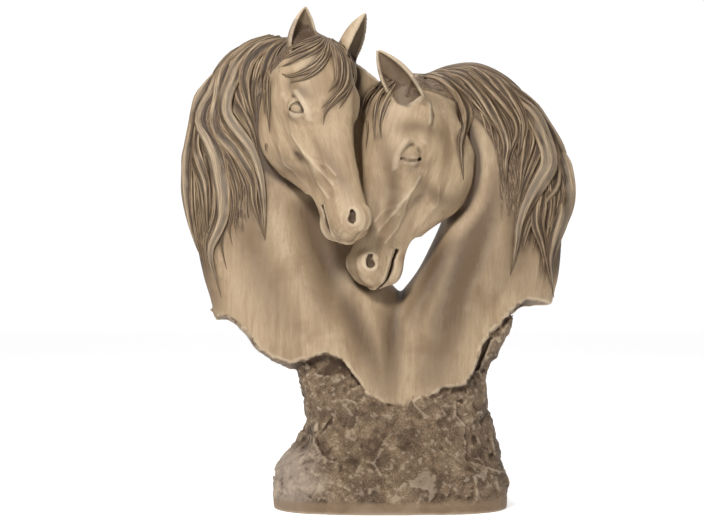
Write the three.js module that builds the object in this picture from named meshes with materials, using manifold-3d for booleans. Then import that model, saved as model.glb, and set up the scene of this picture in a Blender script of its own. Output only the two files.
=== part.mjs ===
// Two horses' heads and necks rising from one broken rock foot, cast in one piece.
// Millimetres, +Z up, the viewer's side is -Y. The origin is the middle of the flat underside of the foot.
import * as THREE from "three";
import { mergeVertices } from "three/addons/utils/BufferGeometryUtils.js";
import Module from "manifold-3d";

const wasm = await Module();
wasm.setup();

// ---- driving dimensions
const HEAD_LENGTH = 198; // from the poll to the lips, both horses
const FOOT_WIDTH = 228;
const FOOT_DEPTH = 140;
const FOOT_EDGE = 10; // height of the plain band round the foot
const HEAD_FLAT = 0.7; // the heads are carved shallower than life, front to back
const NECK_THICKNESS = 43; // half, at the middle of a neck
const CHEST_THICKNESS = 50; // half, where the necks join
const LOCK_HEIGHT = 0.45; // a lock's height as a share of its half width
const BREAK_LEAN = 0.15; // the broken edges run lower towards the back

const V = (x, y, z) => new THREE.Vector3(x, y, z);

// ---- solids

// A closed geometry as a solid, turned to face out.
function solid(geometry) {
  const bare = geometry.index ? geometry.toNonIndexed() : geometry.clone();
  bare.deleteAttribute("normal");
  bare.deleteAttribute("uv");
  const merged = mergeVertices(bare, 1e-3);
  const triVerts = new Uint32Array(merged.index.array);
  const vertProperties = merged.attributes.position.array;
  const made = new wasm.Manifold(new wasm.Mesh({ numProp: 3, vertProperties, triVerts }));
  if (made.volume() > 0) return made;
  return new wasm.Manifold(new wasm.Mesh({ numProp: 3, vertProperties, triVerts: triVerts.reverse() }));
}

// Closed skin over a list of rings with the same number of points, capped at both ends.
function loft(rings) {
  const around = rings[0].length;
  const points = rings.flat();
  const faces = [];
  const at = (ring, i) => ring * around + (i % around);
  for (let ring = 0; ring + 1 < rings.length; ring++)
    for (let i = 0; i < around; i++) {
      faces.push(at(ring, i), at(ring, i + 1), at(ring + 1, i));
      faces.push(at(ring, i + 1), at(ring + 1, i + 1), at(ring + 1, i));
    }
  for (const [ring, turn] of [
    [0, 1],
    [rings.length - 1, 0],
  ]) {
    const middle = rings[ring]
      .reduce((sum, p) => sum.add(p), V(0, 0, 0))
      .divideScalar(around);
    points.push(middle);
    for (let i = 0; i < around; i++)
      faces.push(points.length - 1, at(ring, i + turn), at(ring, i + 1 - turn));
  }
  return solid(new THREE.BufferGeometry().setFromPoints(points).setIndex(faces));
}

function ellipsoid(centre, radii, basis) {
  const ball = new THREE.SphereGeometry(1, 8, 5);
  ball.scale(...radii);
  if (basis) ball.applyMatrix4(basis);
  ball.translate(centre.x, centre.y, centre.z);
  return solid(ball);
}

const joined = (list) => list.reduce((whole, piece) => whole.add(piece));

// Smooth curve through [x, z] pairs, at a depth y.
const outline = (pairs, y = 0) =>
  new THREE.CatmullRomCurve3(pairs.map(([x, z]) => V(x, y, z)), false, "centripetal");

// Value at t of a table of [t, v1, v2, ...] rows, by a smooth step between rows.
function lookUp(rows, t) {
  const last = rows.length - 1;
  let i = rows.findIndex((row) => row[0] >= t);
  if (i < 0) i = last;
  if (i === 0) return rows[0].slice(1);
  const [a, b] = [rows[i - 1], rows[i]];
  const share = THREE.MathUtils.clamp((t - a[0]) / (b[0] - a[0]), 0, 1);
  return a.slice(1).map((v, k) => THREE.MathUtils.lerp(v, b[k + 1], share));
}

// ---- necks: each is a skin between its crest line and its throat line
const LEFT_NECK = {
  crest: [
    [-58, 446], [-88, 459], [-113, 460], [-135, 453], [-161, 433], [-182, 401], [-192, 370],
    [-196, 338], [-195, 294], [-190, 255], [-183, 222], [-175, 195], [-170, 160], [-166, 120],
  ],
  throat: [
    [-6, 409], [-9, 380], [-13, 350], [-15, 320], [-14, 290], [-12, 262], [-8, 238],
    [2, 215], [14, 203], [34, 180], [48, 150], [50, 92],
  ],
};
const RIGHT_NECK = {
  crest: [
    [30, 420], [58, 432], [88, 435], [117, 422], [142, 395], [161, 352], [171, 303],
    [170, 262], [166, 222], [160, 198], [156, 165], [150, 130],
  ],
  throat: [
    [16, 384], [30, 360], [44, 337], [55, 313], [58, 294], [52, 275], [41, 251],
    [28, 227], [10, 204], [-10, 180], [-26, 150], [-28, 92],
  ],
};
// Share along the neck, half thickness as a share of NECK_THICKNESS, middle's y.
const NECK_BULK = [
  [0, 0.58, 34],
  [0.2, 0.66, 36],
  [0.45, 0.86, 27],
  [0.7, 0.99, 14],
  [1, CHEST_THICKNESS / NECK_THICKNESS, 3],
];
const CREST_THIN = 0.3; // how much thinner a neck is near its crest

function neck({ crest, throat }) {
  const [back, front] = [outline(crest), outline(throat)];
  const [steps, around] = [14, 14];
  const rings = [];
  for (let step = 0; step <= steps; step++) {
    const t = step / steps;
    const [bulk, y] = lookUp(NECK_BULK, t);
    const [a, b] = [back.getPoint(t), front.getPoint(t)];
    const middle = a.clone().add(b).multiplyScalar(0.5);
    const reach = a.clone().sub(b).multiplyScalar(0.5);
    const ring = [];
    for (let i = 0; i < around; i++) {
      const angle = (2 * Math.PI * i) / around;
      const along = Math.cos(angle);
      const swell = Math.sign(Math.sin(angle)) * Math.abs(Math.sin(angle)) ** 0.85;
      const thick = bulk * NECK_THICKNESS * swell * (1 - CREST_THIN * Math.max(along, 0));
      ring.push(middle.clone().addScaledVector(reach, along).add(V(0, y + thick, 0)));
    }
    rings.push(ring);
  }
  return loft(rings);
}

// ---- the broken edge under each neck, as [x, z] from the outside to the middle
const LEFT_BREAK = [
  [-175, 196], [-171, 188], [-160, 188], [-149, 182], [-138, 172], [-128, 156], [-115, 145],
  [-97, 140], [-80, 143], [-63, 150], [-48, 144], [-38, 130], [-24, 112], [-8, 102], [12, 97],
];
const RIGHT_BREAK = [
  [164, 202], [158, 200], [146, 201], [132, 202], [119, 195], [108, 183], [96, 172],
  [87, 157], [81, 134], [72, 121], [52, 118], [38, 112], [12, 97],
];
const BREAK_SWING = 70; // how far the cutting slab reaches past the neck's edge

// A thick slab with its outline in x and z, sheared so that it runs lower towards the back.
function slab(shape) {
  const made = new THREE.ExtrudeGeometry(shape, { depth: 240, bevelEnabled: false });
  made.rotateX(Math.PI / 2);
  made.translate(0, 120, 0);
  const place = made.getAttribute("position");
  for (let i = 0; i < place.count; i++) place.setZ(i, place.getZ(i) - BREAK_LEAN * (place.getY(i) + 45));
  return solid(made);
}

function breakCut(line) {
  const away = Math.sign(line[0][0]) * BREAK_SWING;
  const shape = new THREE.Shape();
  shape.moveTo(line[0][0] + away, line[0][1] + 4);
  line.forEach(([x, z]) => shape.lineTo(x, z));
  shape.lineTo(line.at(-1)[0], -60);
  shape.lineTo(line[0][0] + away, -60);
  return slab(shape);
}

// ---- the rock foot: height, left edge, right edge, half depth, middle's y
const ROCK = [
  [0, 1 - FOOT_WIDTH / 2, FOOT_WIDTH / 2 - 1, FOOT_DEPTH / 2 - 1, 0],
  [FOOT_EDGE, -FOOT_WIDTH / 2, FOOT_WIDTH / 2, FOOT_DEPTH / 2, 0],
  [26, -114, 114, 68, 0],
  [38, -111, 112, 63, 1],
  [47, -103, 106, 59, 2],
  [63, -90, 101, 52, 3],
  [83, -82, 97, 46, 4],
  [102, -82, 93, 43, 4],
  [121, -88, 92, 41, 4],
  [137, -95, 97, 38, 4],
  [152, -84, 104, 34, 4],
  [184, -40, 122, 26, 4],
];
const ROCK_TOP = 3; // the rock ends this far above the broken edges
const ROCK_POWER = 3.2; // 2 is round, more is squarer
const ROCK_CHIP = 2.2;

function rock() {
  const around = 22;
  const rings = ROCK.map(([z, left, right, depth, y], row) => {
    const ring = [];
    for (let i = 0; i < around; i++) {
      const angle = (2 * Math.PI * i) / around;
      const [c, s] = [Math.cos(angle), Math.sin(angle)];
      const round = (Math.abs(c) ** ROCK_POWER + Math.abs(s) ** ROCK_POWER) ** (-1 / ROCK_POWER);
      const wave = Math.sin(5 * angle + 1.7 * row) * Math.cos(3 * angle - 2.3 * row);
      const chip = row > 1 ? ROCK_CHIP * wave : 0;
      const x = (left + right) / 2 + ((right - left) / 2 + chip) * c * round;
      ring.push(V(x, y + (depth + chip) * s * round, z));
    }
    return ring;
  });
  const top = new THREE.Shape();
  const edge = [...LEFT_BREAK, ...RIGHT_BREAK.slice(0, -1).reverse()];
  edge.forEach(([x, z], i) => (i ? top.lineTo(x, z + ROCK_TOP) : top.moveTo(x, z + ROCK_TOP)));
  top.lineTo(edge.at(-1)[0], 300);
  top.lineTo(edge[0][0], 300);
  const above = new THREE.ExtrudeGeometry(top, { depth: 240, bevelEnabled: false });
  above.rotateX(Math.PI / 2);
  above.translate(0, 120, 0);
  return loft(rings).subtract(solid(above));
}

// ---- heads, in shares of HEAD_LENGTH: along from the poll to the lips, out from the face, across
// along, face line, jaw line, half width of the face's flat, at the cheek bone, at the jaw
const HEAD_PROFILE = [
  [-0.06, -0.06, -0.2, 0.045, 0.075, 0.055],
  [-0.02, -0.01, -0.27, 0.08, 0.115, 0.09],
  [0.05, 0.03, -0.37, 0.115, 0.15, 0.105],
  [0.13, 0.05, -0.47, 0.145, 0.178, 0.115],
  [0.21, 0.056, -0.535, 0.168, 0.19, 0.12],
  [0.3, 0.048, -0.56, 0.165, 0.188, 0.12],
  [0.38, 0.032, -0.565, 0.13, 0.168, 0.115],
  [0.46, 0.015, -0.545, 0.1, 0.145, 0.105],
  [0.53, 0.004, -0.495, 0.083, 0.125, 0.095],
  [0.59, -0.002, -0.43, 0.074, 0.11, 0.08],
  [0.65, -0.006, -0.37, 0.068, 0.1, 0.07],
  [0.71, -0.009, -0.325, 0.065, 0.092, 0.062],
  [0.78, -0.01, -0.288, 0.068, 0.09, 0.06],
  [0.86, -0.012, -0.272, 0.078, 0.098, 0.066],
  [0.91, -0.03, -0.262, 0.074, 0.095, 0.062],
  [0.945, -0.065, -0.24, 0.056, 0.076, 0.05],
  [0.97, -0.12, -0.2, 0.026, 0.04, 0.026],
];

// The head's own axes: along, out of the face, and across, towards the eye that shows.
function headPlace({ poll, tilt, turn, lean, side }) {
  const along = V(Math.sin(tilt), -Math.sin(lean), -Math.cos(tilt)).normalize();
  const face = V(side * Math.cos(turn), -Math.sin(turn), 0);
  face.addScaledVector(along, -face.dot(along)).normalize();
  const across = along.clone().cross(face).multiplyScalar(side).normalize();
  if (across.y > 0) across.negate();
  face.y *= HEAD_FLAT;
  across.y *= HEAD_FLAT;
  const basis = new THREE.Matrix4().makeBasis(along, face, across);
  const put = (a, n, l) =>
    poll.clone()
      .addScaledVector(along, a * HEAD_LENGTH)
      .addScaledVector(face, n * HEAD_LENGTH)
      .addScaledVector(across, l * HEAD_LENGTH);
  return { basis, put };
}

function headShell({ put }) {
  const around = 14;
  const smooth = THREE.MathUtils.smoothstep;
  return loft(
    HEAD_PROFILE.map(([a, top, bottom, flat, cheek, jaw]) => {
      const ring = [];
      for (let i = 0; i < around; i++) {
        const angle = (2 * Math.PI * i) / around;
        const [c, s] = [Math.cos(angle), Math.sin(angle)];
        const round = (Math.abs(c) ** 3.4 + Math.abs(s) ** 3.4) ** (-1 / 3.4);
        const high = s * round;
        const upper = THREE.MathUtils.lerp(cheek, flat, smooth(high, 0.6, 1));
        const width = THREE.MathUtils.lerp(jaw, upper, smooth(high, -0.65, 0.3));
        ring.push(put(a, (top + bottom) / 2 + (high * (top - bottom)) / 2, width * c * round));
      }
      return ring;
    }),
  );
}

// Rounded masses on both sides of the head: along, out, across, then the three radii.
const headMasses = ({ eye: [ea, en], nostril: [na, nn] }) => [
  [ea - 0.035, en + 0.02, 0.11, 0.1, 0.075, 0.07], // brow
  [ea, en, 0.138, 0.054, 0.054, 0.056], // eye and lids
  [0.36, -0.33, 0.075, 0.19, 0.19, 0.08], // cheek
  [na, nn - 0.01, 0.068, 0.062, 0.06, 0.042], // nostril
  [0.925, -0.12, 0.035, 0.05, 0.07, 0.055], // upper lip
  [0.872, -0.232, 0.02, 0.068, 0.04, 0.055], // lower lip
];
const nostrilHole = ({ nostril: [na, nn] }) => [na - 0.004, nn - 0.002, 0.112, 0.028, 0.02, 0.022];

function headMass(place, [a, n, l, ra, rn, rl], side) {
  const radii = [ra, rn, rl].map((r) => r * HEAD_LENGTH);
  return ellipsoid(place.put(a, n, side * l), radii, place.basis);
}

// An ear is a leaf, hollowed on its inner side. reach is its length, open the way its hollow faces.
function ear({ base, tip, open, width }) {
  const axis = tip.clone().sub(base);
  const across = axis.clone().cross(open).normalize();
  const out = across.clone().cross(axis).normalize();
  const leaf = (scale, shift) =>
    loft(
      [0, 0.22, 0.45, 0.68, 0.88, 1].map((t) => {
        const half = width * (0.62 + 0.9 * t - 1.5 * t ** 2.4) * scale + 0.4;
        const ring = [];
        for (let i = 0; i < 8; i++) {
          const angle = (2 * Math.PI * i) / 8;
          ring.push(
            base.clone().addScaledVector(axis, t)
              .addScaledVector(across, half * Math.cos(angle))
              .addScaledVector(out, 0.72 * half * Math.sin(angle) + shift),
          );
        }
        return ring;
      }),
    );
  return leaf(1, 0).subtract(leaf(0.72, width * 0.42));
}

function head(horse) {
  const place = headPlace(horse);
  const masses = [1, -1].flatMap((side) =>
    headMasses(horse).map((mass) => headMass(place, mass, side)),
  );
  let made = joined([headShell(place), ...masses]);
  for (const side of [1, -1]) made = made.subtract(headMass(place, nostrilHole(horse), side));
  return joined([made, ellipsoid(...horse.nape), ...horse.ears.map(ear)]);
}

const LEFT_HORSE = {
  poll: V(-66, -38, 450),
  tilt: 0.235,
  turn: 0.87,
  lean: 0.19,
  side: 1,
  eye: [0.322, -0.115],
  nostril: [0.888, -0.03],
  nape: [V(-72, 2, 420), [40, 42, 32]],
  ears: [
    { base: V(-87, -36, 424), tip: V(-82, -36, 481), open: V(0.35, -1, 0.05), width: 16.5 },
    { base: V(-46, -13, 427), tip: V(-23, -12, 479), open: V(0.9, -0.35, -0.2), width: 18.4 },
  ],
};
const RIGHT_HORSE = {
  poll: V(-2, -22, 408),
  tilt: -0.215,
  turn: 0.49,
  lean: 0.1,
  side: -1,
  eye: [0.345, -0.12],
  nostril: [0.868, -0.062],
  nape: [V(38, 24, 386), [36, 34, 34]],
  ears: [
    { base: V(24, -32, 386), tip: V(-15, -42, 440), open: V(-0.3, -1, 0.1), width: 17.5 },
    { base: V(6, 10, 388), tip: V(2, 14, 424), open: V(-1, 0.1, 0), width: 11 },
  ],
};

// ---- locks of hair: half width, then the [x, z] route that is laid on the front
const LEFT_MANE = [
  [5, [[-101, 458], [-112, 446], [-118, 431], [-118, 396], [-116, 361]]],
  [7, [[-104, 458], [-124, 447], [-138, 432], [-142, 415], [-137, 388], [-131, 374]]],
  [8, [
    [-109, 458], [-131, 450], [-150, 433], [-162, 396], [-161, 379], [-142, 353], [-127, 318],
    [-121, 257],
  ]],
  [8, [
    [-128, 452], [-154, 436], [-168, 400], [-171, 379], [-154, 348], [-134, 318], [-129, 280],
    [-122, 262],
  ]],
  [9, [
    [-145, 444], [-168, 420], [-182, 388], [-184, 372], [-170, 339], [-163, 299], [-165, 274],
    [-174, 250], [-173, 232], [-164, 203],
  ]],
  [8, [[-163, 426], [-184, 388], [-190, 362], [-186, 329], [-180, 296], [-178, 262]]],
  [9, [[-180, 406], [-193, 371], [-197, 343], [-197, 305], [-193, 270], [-187, 242]]],
];
const RIGHT_MANE = [
  [6, [[22, 420], [44, 420], [60, 408], [73, 386], [71, 363], [69, 340], [71, 316]]],
  [6, [[44, 425], [66, 414], [80, 400], [91, 384]]],
  [8, [[52, 428], [80, 411], [101, 383], [112, 357], [112, 334], [114, 312]]],
  [8, [[72, 430], [98, 410], [116, 388], [124, 365], [120, 348], [115, 330]]],
  [9, [[96, 422], [122, 398], [143, 374], [153, 344], [147, 316], [132, 290], [123, 257], [116, 226]]],
  [9, [[112, 410], [136, 388], [154, 360], [162, 331], [158, 304], [142, 283], [129, 247]]],
  [10, [[154, 362], [168, 337], [173, 305], [168, 277], [160, 254], [158, 226], [161, 203]]],
];
const FORELOCK = [
  [6, [[-57, 449], [-47, 436], [-43, 416], [-46, 398], [-58, 381], [-64, 367]]],
  [6, [[-62, 446], [-66, 432], [-80, 422], [-98, 417], [-106, 420]]],
];

const NECK_MIDDLE = V(115, 0, 330);

// Drops a route on the front of a shape and sweeps a flat, pointed lock along it.
function lock(target, [half, route], back = false) {
  const curve = outline(route);
  const steps = route.length;
  const ray = new THREE.Raycaster();
  const way = V(0, back ? -1 : 1, 0);
  const spine = [];
  for (let step = 0; step <= steps; step++) {
    const p = curve.getPoint(step / steps);
    const inward = V(NECK_MIDDLE.x * Math.sign(p.x), 0, NECK_MIDDLE.z).sub(p).setY(0).normalize();
    let hit;
    for (let slide = 0; !hit && slide < 60; slide += 3) {
      ray.set(V(p.x, -300 * way.y, p.z).addScaledVector(inward, slide), way);
      hit = ray.intersectObject(target)[0];
    }
    const out = hit.face.normal.clone().lerp(V(0, -way.y, 0), 0.5).normalize();
    spine.push({ at: V(p.x, hit.point.y, p.z), out });
  }
  const last = spine.length - 1;
  const rings = spine.map(({ at, out }, i) => {
    const t = i / last;
    const along = spine[Math.min(i + 1, last)].at.clone().sub(spine[Math.max(i - 1, 0)].at).normalize();
    const across = along.clone().cross(out).normalize();
    const wide = half * Math.min(0.5 + 3 * t, 1) * Math.min(1, 1.6 * (1 - t) ** 0.8 + 0.08);
    const ring = [];
    for (let k = 0; k < 5; k++) {
      const angle = (2 * Math.PI * k) / 5;
      ring.push(
        at.clone()
          .addScaledVector(across, wide * Math.cos(angle))
          .addScaledVector(out, wide * LOCK_HEIGHT * (Math.sin(angle) + 0.35)),
      );
    }
    return ring;
  });
  return loft(rings);
}

function meshOf(shape) {
  const { vertProperties, triVerts, numProp } = shape.getMesh();
  const geometry = new THREE.BufferGeometry();
  const points = new Float32Array((vertProperties.length / numProp) * 3);
  for (let i = 0; i < points.length / 3; i++)
    points.set(vertProperties.subarray(i * numProp, i * numProp + 3), i * 3);
  geometry.setAttribute("position", new THREE.BufferAttribute(points, 3));
  geometry.setIndex(new THREE.BufferAttribute(triVerts, 1));
  geometry.computeVertexNormals();
  return geometry;
}

// The casting is one outer skin: slivers and closed pockets between locks are left out.
function outerSkin(shape) {
  let skin = shape;
  for (let pass = 0; pass < 3; pass++)
    skin = solid(meshOf(skin)).decompose().sort((one, other) => other.volume() - one.volume())[0];
  return skin;
}

function sculpture() {
  let necks = neck(LEFT_NECK).add(neck(RIGHT_NECK));
  necks = necks.subtract(breakCut(LEFT_BREAK)).subtract(breakCut(RIGHT_BREAK));
  const bare = joined([necks, rock(), head(LEFT_HORSE), head(RIGHT_HORSE)]);
  const target = new THREE.Mesh(meshOf(bare), new THREE.MeshBasicMaterial({ side: THREE.DoubleSide }));
  const hair = [...LEFT_MANE, ...RIGHT_MANE, ...FORELOCK].map((strand) => lock(target, strand));
  const behind = [...LEFT_MANE.slice(4), ...RIGHT_MANE.slice(4)].map((strand) => lock(target, strand, true));
  return outerSkin(joined([bare, ...hair, ...behind]));
}

const castResin = new THREE.MeshStandardMaterial({
  name: "weathered_resin",
  color: new THREE.Color(0.53, 0.42, 0.3),
  roughness: 0.72,
  metalness: 0,
});
const mesh = new THREE.Mesh(meshOf(sculpture()), castResin);
mesh.name = "horse_pair_sculpture";
const group = new THREE.Group();
group.add(mesh);

export default group;
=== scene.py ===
"""The pair of horses' heads as one carved casting: body from a distance field, manes from grooved locks.
Millimetres in the working arrays, metres in the meshes, same frame as the CAD."""

import math

import bpy
import numpy as np
import openvdb
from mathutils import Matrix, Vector


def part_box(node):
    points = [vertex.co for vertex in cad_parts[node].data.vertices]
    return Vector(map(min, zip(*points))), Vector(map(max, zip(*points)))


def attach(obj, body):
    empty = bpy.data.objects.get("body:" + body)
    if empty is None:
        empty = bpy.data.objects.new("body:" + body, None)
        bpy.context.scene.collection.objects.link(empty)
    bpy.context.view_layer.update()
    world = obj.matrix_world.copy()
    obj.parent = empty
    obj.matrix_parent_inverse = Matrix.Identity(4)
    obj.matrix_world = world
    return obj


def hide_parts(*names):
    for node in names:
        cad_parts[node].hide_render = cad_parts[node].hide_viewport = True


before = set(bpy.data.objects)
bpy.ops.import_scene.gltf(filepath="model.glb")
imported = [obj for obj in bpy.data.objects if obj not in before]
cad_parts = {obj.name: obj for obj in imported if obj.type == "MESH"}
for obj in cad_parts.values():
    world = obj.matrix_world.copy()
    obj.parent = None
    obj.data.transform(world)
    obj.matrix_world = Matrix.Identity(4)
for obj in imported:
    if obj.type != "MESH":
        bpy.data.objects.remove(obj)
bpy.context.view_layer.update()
NODE = "horse_pair_sculpture"
LO, HI = (np.array(corner) * 1000 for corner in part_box(NODE))
STEP = 1.36  # voxel, mm
F = np.float32
rng = np.random.default_rng(7)

# ------------------------------------------------------------------ grid
MARGIN = 9.0
G0 = LO - MARGIN
GN = np.ceil((HI + MARGIN - G0) / STEP).astype(int)
GX, GY, GZ = (G0[i] + STEP * np.arange(GN[i], dtype=F) for i in range(3))
FIELD = np.full(tuple(GN), 40.0, F)
ROCKY = np.zeros(tuple(GN), F)  # 1 where the surface is rock


def window(low, high):
    i0 = np.maximum(((np.array(low) - G0) / STEP).astype(int), 0)
    i1 = np.minimum(((np.array(high) - G0) / STEP).astype(int) + 2, GN)
    part = tuple(slice(a, b) for a, b in zip(i0, i1))
    x, y, z = GX[part[0]], GY[part[1]], GZ[part[2]]
    return part, x[:, None, None], y[None, :, None], z[None, None, :]


def smin(a, b, k):
    h = np.clip(0.5 + 0.5 * (a - b) / k, 0, 1)
    return a + (b - a) * h - k * h * (1 - h)


def smax(a, b, k):
    return -smin(-a, -b, k)


def step01(x, low, high):
    t = np.clip((x - low) / (high - low), 0, 1)
    return t * t * (3 - 2 * t)


def table(rows, t):
    """Columns of a table of [t, v1, v2, ...], smoothly read at t."""
    rows = np.array(rows, float)
    fine = np.linspace(rows[0, 0], rows[-1, 0], 240)
    out = []
    for column in rows[:, 1:].T:
        smooth = np.interp(fine, rows[:, 0], column)
        kernel = np.hanning(15)
        kernel /= kernel.sum()
        smooth = np.convolve(np.pad(smooth, 7, mode="edge"), kernel, "valid")
        out.append(np.interp(t, fine, smooth).astype(F))
    return out


def spline(points, n):
    """n points along a centripetal Catmull-Rom curve."""
    p = np.array(points, float)
    p = np.vstack([2 * p[0] - p[1], p, 2 * p[-1] - p[-2]])
    out = []
    for i in range(1, len(p) - 2):
        p0, p1, p2, p3 = p[i - 1 : i + 3]
        t1 = max(np.linalg.norm(p1 - p0), 1e-6) ** 0.5
        t2 = t1 + max(np.linalg.norm(p2 - p1), 1e-6) ** 0.5
        t3 = t2 + max(np.linalg.norm(p3 - p2), 1e-6) ** 0.5
        t = np.linspace(t1, t2, 24, endpoint=False)[:, None]
        a1 = (t1 - t) / t1 * p0 + t / t1 * p1
        a2 = (t2 - t) / (t2 - t1) * p1 + (t - t1) / (t2 - t1) * p2
        a3 = (t3 - t) / (t3 - t2) * p2 + (t - t2) / (t3 - t2) * p3
        b1 = (t2 - t) / t2 * a1 + t / t2 * a2
        b2 = (t3 - t) / (t3 - t1) * a2 + (t - t1) / (t3 - t1) * a3
        out.append((t2 - t) / (t2 - t1) * b1 + (t - t1) / (t2 - t1) * b2)
    out.append(p[-2][None])
    line = np.vstack(out)
    run = np.r_[0, np.cumsum(np.linalg.norm(np.diff(line, axis=0), axis=1))]
    want = np.linspace(0, run[-1], n)
    return np.stack([np.interp(want, run, line[:, k]) for k in range(line.shape[1])], 1)


# ------------------------------------------------------------------ noise
HASH = rng.random(4096).astype(F)


def lattice(ix, iy, iz, seed):
    return HASH[(ix * 73856093 ^ iy * 19349663 ^ iz * 83492791 ^ (seed * 2654435761)) & 4095]


def value_noise(p, scale, seed=0):
    q = p * scale
    i = np.floor(q).astype(np.int64)
    f = (q - i).astype(F)
    f = f * f * (3 - 2 * f)
    total = 0
    for dx in (0, 1):
        for dy in (0, 1):
            for dz in (0, 1):
                w = (f[:, 0] if dx else 1 - f[:, 0]) * (f[:, 1] if dy else 1 - f[:, 1])
                w = w * (f[:, 2] if dz else 1 - f[:, 2])
                total = total + w * lattice(i[:, 0] + dx, i[:, 1] + dy, i[:, 2] + dz, seed)
    return total * 2 - 1


def fbm(p, scale, octaves=3, seed=0):
    return sum(value_noise(p, scale * 2**o, seed + o) / 2**o for o in range(octaves))


def facets(p, scale, seed=0):
    """Broken stone: each cell a tilted plane. Returns its height and the distance to the cell's edge."""
    q = p * scale
    i = np.floor(q).astype(np.int64)
    near = np.full(len(p), 9.0, F)
    second = near.copy()
    height = np.zeros(len(p), F)
    for dx in (-1, 0, 1):
        for dy in (-1, 0, 1):
            for dz in (-1, 0, 1):
                c = i + (dx, dy, dz)
                h = [lattice(c[:, 0], c[:, 1], c[:, 2], seed + 11 * k) for k in range(1, 8)]
                off = [q[:, k] - c[:, k] - h[k] for k in range(3)]
                d = np.sqrt(off[0] ** 2 + off[1] ** 2 + off[2] ** 2)
                plane = h[3] - 0.5 + sum((h[4 + k] - 0.5) * off[k] * 1.6 for k in range(3))
                second = np.minimum(second, np.maximum(near, d))
                height = np.where(d < near, plane, height)
                near = np.minimum(near, d)
    return height.astype(F), (second - near).astype(F)


# ------------------------------------------------------------------ necks
LEFT_NECK = dict(
    crest=[[-58, 446], [-88, 459], [-113, 460], [-135, 453], [-161, 433], [-182, 401], [-192, 370],
           [-196, 338],
           [-195, 294], [-190, 255], [-183, 222], [-175, 195], [-170, 160], [-166, 120]],
    throat=[[-6, 409], [-9, 380], [-13, 350], [-15, 320], [-14, 290], [-12, 262], [-8, 238], [2, 215],
            [14, 203],
            [34, 180], [48, 150], [50, 92]],
)
RIGHT_NECK = dict(
    crest=[[30, 420], [58, 432], [88, 435], [117, 422], [142, 395], [161, 352], [171, 303], [170, 262],
           [166, 222],
           [160, 198], [156, 165], [150, 130]],
    throat=[[16, 384], [30, 360], [44, 337], [55, 313], [58, 294], [52, 275], [41, 251], [28, 227], [10, 204],
            [-10, 180], [-26, 150], [-28, 92]],
)
NECK_HALF = 43.0
NECK_BULK = [[0, 0.58, 34], [0.2, 0.66, 36], [0.45, 0.86, 27], [0.7, 0.99, 14], [1, 1.08, 4]]


def plane_maps(neck, n=900):
    """For every (x, z): share along the neck, place from throat (-1) to crest (+1), half reach."""
    crest, throat = spline(neck["crest"], n), spline(neck["throat"], n)
    c = np.linspace(-1.5, 1.5, 561)
    mid, reach = (crest + throat) / 2, (crest - throat) / 2
    pts = mid[:, None] + reach[:, None] * c[None, :, None]
    share = np.broadcast_to(np.linspace(0, 1, n)[:, None], pts.shape[:2])
    half = np.broadcast_to(np.linalg.norm(reach, axis=1)[:, None], pts.shape[:2])
    ix = np.round((pts[..., 0] - G0[0]) / STEP).astype(int)
    iz = np.round((pts[..., 1] - G0[2]) / STEP).astype(int)
    ok = (ix >= 0) & (ix < GN[0]) & (iz >= 0) & (iz < GN[2])
    cc = np.broadcast_to(c[None], pts.shape[:2])
    # where rings cross outside the neck, the sample nearest the neck's middle counts
    flat = (ix * GN[2] + iz)[ok]
    best = np.full(GN[0] * GN[2], 9.0)
    np.minimum.at(best, flat, np.abs(cc[ok]))
    take = np.abs(cc[ok]) <= best[flat] + 0.02
    count = np.zeros(GN[0] * GN[2])
    np.add.at(count, flat[take], 1)
    maps = []
    for value in (share, cc, half):
        total = np.zeros(GN[0] * GN[2])
        np.add.at(total, flat[take], value[ok][take])
        maps.append((total / np.maximum(count, 1)).reshape(GN[0], GN[2]))
    seen = (count > 0).reshape(GN[0], GN[2])
    for _ in range(3):
        p = np.pad(seen, 1).astype(F)
        around = [p[:-2, 1:-1], p[2:, 1:-1], p[1:-1, :-2], p[1:-1, 2:]]
        number = sum(around)
        gap = ~seen & (number > 0)
        for k, m in enumerate(maps):
            q = np.pad(m, 1)
            parts = [q[:-2, 1:-1], q[2:, 1:-1], q[1:-1, :-2], q[1:-1, 2:]]
            maps[k] = np.where(gap, sum(a * b for a, b in zip(around, parts)) / np.maximum(number, 1), m)
        seen = seen | gap
    maps = [np.where(seen, m, empty) for m, empty in zip(maps, (0.5, 1.5, 60.0))]
    return [m.astype(F) for m in maps], seen


def blur2(a, passes=2):
    for _ in range(passes):
        p = np.pad(a, 1, mode="edge")
        a = (p[:-2, 1:-1] + p[2:, 1:-1] + p[1:-1, :-2] + p[1:-1, 2:] + 2 * p[1:-1, 1:-1]) / 6
    return a


def line_gap(points):
    """Distance in the x-z plane from every grid column to a line of points, and the share along it."""
    p = spline(points, 60)
    x, z = np.meshgrid(GX, GZ, indexing="ij")
    gap = np.full(x.shape, 999.0, F)
    share = np.zeros(x.shape, F)
    for k in range(len(p) - 1):
        d = p[k + 1] - p[k]
        t = np.clip(((x - p[k, 0]) * d[0] + (z - p[k, 1]) * d[1]) / max(d @ d, 1e-9), 0, 1)
        g = np.hypot(x - p[k, 0] - t * d[0], z - p[k, 1] - t * d[1])
        share = np.where(g < gap, (k + t) / (len(p) - 1), share)
        gap = np.minimum(gap, g)
    return gap, share


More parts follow.
